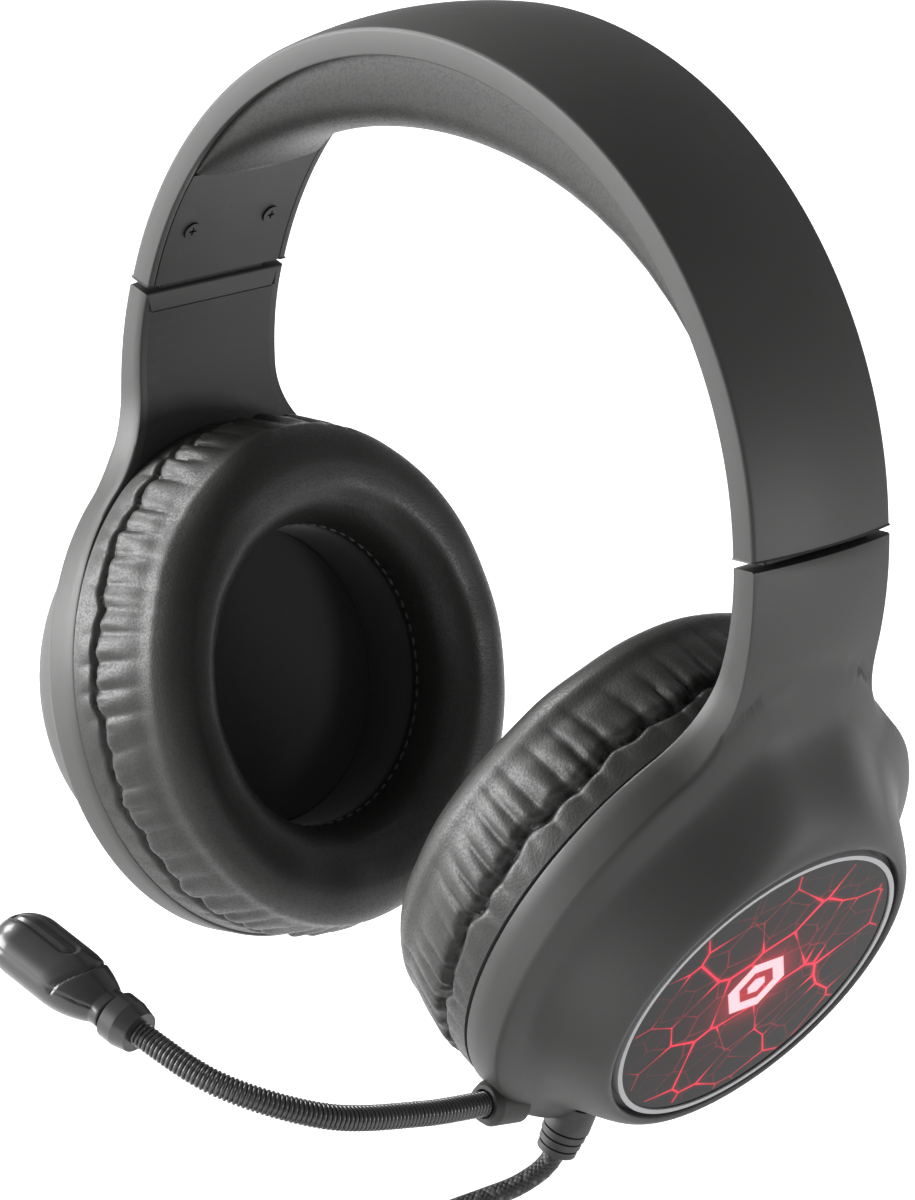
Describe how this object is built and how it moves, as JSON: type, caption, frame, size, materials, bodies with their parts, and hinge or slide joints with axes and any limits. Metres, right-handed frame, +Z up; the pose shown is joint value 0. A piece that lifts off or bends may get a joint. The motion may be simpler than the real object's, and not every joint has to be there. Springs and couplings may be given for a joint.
{
  "type": "gaming headset",
  "caption": "Over-ear gaming headset with a padded sliding headband, round leatherette cushions, a lit disc on each cup, a bendable gooseneck microphone and a braided USB lead.",
  "frame": {"origin": "middle of the headband pad's underside, where the headset rests on a head or on a stand", "axes": "+X to the wearer's left, -Y to the wearer's front, +Z up"},
  "size_m": [0.1848, 0.1892, 0.2369],
  "materials": {
    "shell_plastic": "fine-textured charcoal moulding",
    "cover_plastic": "smooth dark cover",
    "pad_leather": "grained black leatherette",
    "cushion_leather": "soft smooth black leatherette, gathered at the seam",
    "spring_steel": "tempered strip",
    "screw_black": "black oxide",
    "screw_zinc": "zinc plated",
    "wire_rubber": "thin black sheath",
    "guide_plastic": "natural acetal",
    "baffle_plastic": "black moulding",
    "driver_plastic": "driver basket",
    "magnet_metal": "plated magnet cup",
    "diaphragm_film": "clear amber film",
    "speaker_fabric": "fine black mesh cloth",
    "window_smoke": "smoked clear window with red lines of light behind it",
    "trim_grey": "satin light grey",
    "light_diffuser": "milky diffuser",
    "circuit_board": "green solder resist",
    "gooseneck_black": "glossy black ribbed sheath",
    "mic_gloss": "piano black",
    "mic_metal": "capsule can",
    "relief_rubber": "dark grey flexible moulding",
    "lead_braid": "black textile braid with grey flecks",
    "plug_rubber": "black overmould",
    "plug_metal": "nickel-plated steel shell",
    "plug_white": "white contact tongue"
  },
  "bodies": {
    "headband": {"headband_shell": "shell_plastic", "headband_pad": "pad_leather", "headband_spring": "spring_steel", "end_cover_screws": "screw_black", "crossover_wire": "wire_rubber", "end_cover_left": "cover_plastic", "end_cover_right": "cover_plastic", "slider_guide_left": "guide_plastic", "slider_guide_right": "guide_plastic", "lead_coil": "lead_braid", "coil_tie": "plug_rubber", "plug_grip": "plug_rubber", "plug_shell": "plug_metal", "plug_tongue": "plug_white"},
    "left_cup": {"slider_strip_left": "spring_steel", "strip_rivets_left": "spring_steel", "cup_housing_left": "shell_plastic", "arm_cover_left": "cover_plastic", "baffle_left": "baffle_plastic", "baffle_screws_left": "screw_zinc", "driver_frame_left": "driver_plastic", "driver_magnet_left": "magnet_metal", "diaphragm_left": "diaphragm_film", "speaker_cloth_left": "speaker_fabric", "ear_cushion_left": "cushion_leather", "disc_window_left": "window_smoke", "trim_ring_left": "trim_grey", "light_board_left": "circuit_board", "light_guide_left": "light_diffuser", "main_board": "circuit_board", "mic_socket": "cover_plastic", "strain_relief": "relief_rubber", "lead": "lead_braid"},
    "right_cup": {"slider_strip_right": "spring_steel", "strip_rivets_right": "spring_steel", "cup_housing_right": "shell_plastic", "arm_cover_right": "cover_plastic", "baffle_right": "baffle_plastic", "baffle_screws_right": "screw_zinc", "driver_frame_right": "driver_plastic", "driver_magnet_right": "magnet_metal", "diaphragm_right": "diaphragm_film", "speaker_cloth_right": "speaker_fabric", "ear_cushion_right": "cushion_leather", "disc_window_right": "window_smoke", "trim_ring_right": "trim_grey", "light_board_right": "circuit_board", "light_guide_right": "light_diffuser"},
    "boom_lower": {"gooseneck_root": "gooseneck_black"},
    "boom_middle": {"gooseneck_middle": "gooseneck_black"},
    "boom_upper": {"gooseneck_upper": "gooseneck_black"},
    "mic_head": {"gooseneck_tip": "gooseneck_black", "mic_collar": "mic_gloss", "mic_shell_inner": "mic_gloss", "mic_shell_outer": "mic_gloss", "mic_element": "mic_metal"}
  },
  "joints": [
    {"name": "slide_left", "type": "slide", "parent": "headband", "child": "left_cup", "axis": [0.2672, 0, -0.9636], "range_m": [0, 0.02]},
    {"name": "slide_right", "type": "slide", "parent": "headband", "child": "right_cup", "axis": [-0.2672, 0, -0.9636], "range_m": [0, 0.02]},
    {"name": "boom_raise_base", "type": "hinge", "parent": "left_cup", "child": "boom_lower", "pos_m": [0.0475, -0.034, -0.1625], "axis": [1, 0, 0], "range_deg": [-22, 10]},
    {"name": "boom_swing_middle", "type": "hinge", "parent": "boom_lower", "child": "boom_middle", "pos_m": [0.047, -0.05, -0.16], "axis": [0, 0, 1], "range_deg": [-8, 22]},
    {"name": "boom_raise_upper", "type": "hinge", "parent": "boom_middle", "child": "boom_upper", "pos_m": [0.0435, -0.07, -0.156], "axis": [0.7572, -0.6532, 0], "range_deg": [-22, 10]},
    {"name": "boom_swing_tip", "type": "hinge", "parent": "boom_upper", "child": "mic_head", "pos_m": [0.031, -0.0845, -0.151], "axis": [0, 0, 1], "range_deg": [-8, 22]}
  ],
  "couplings": [
    {"joint": "boom_raise_upper", "follows": "boom_raise_base", "ratio": 1},
    {"joint": "boom_swing_tip", "follows": "boom_swing_middle", "ratio": 1}
  ]
}
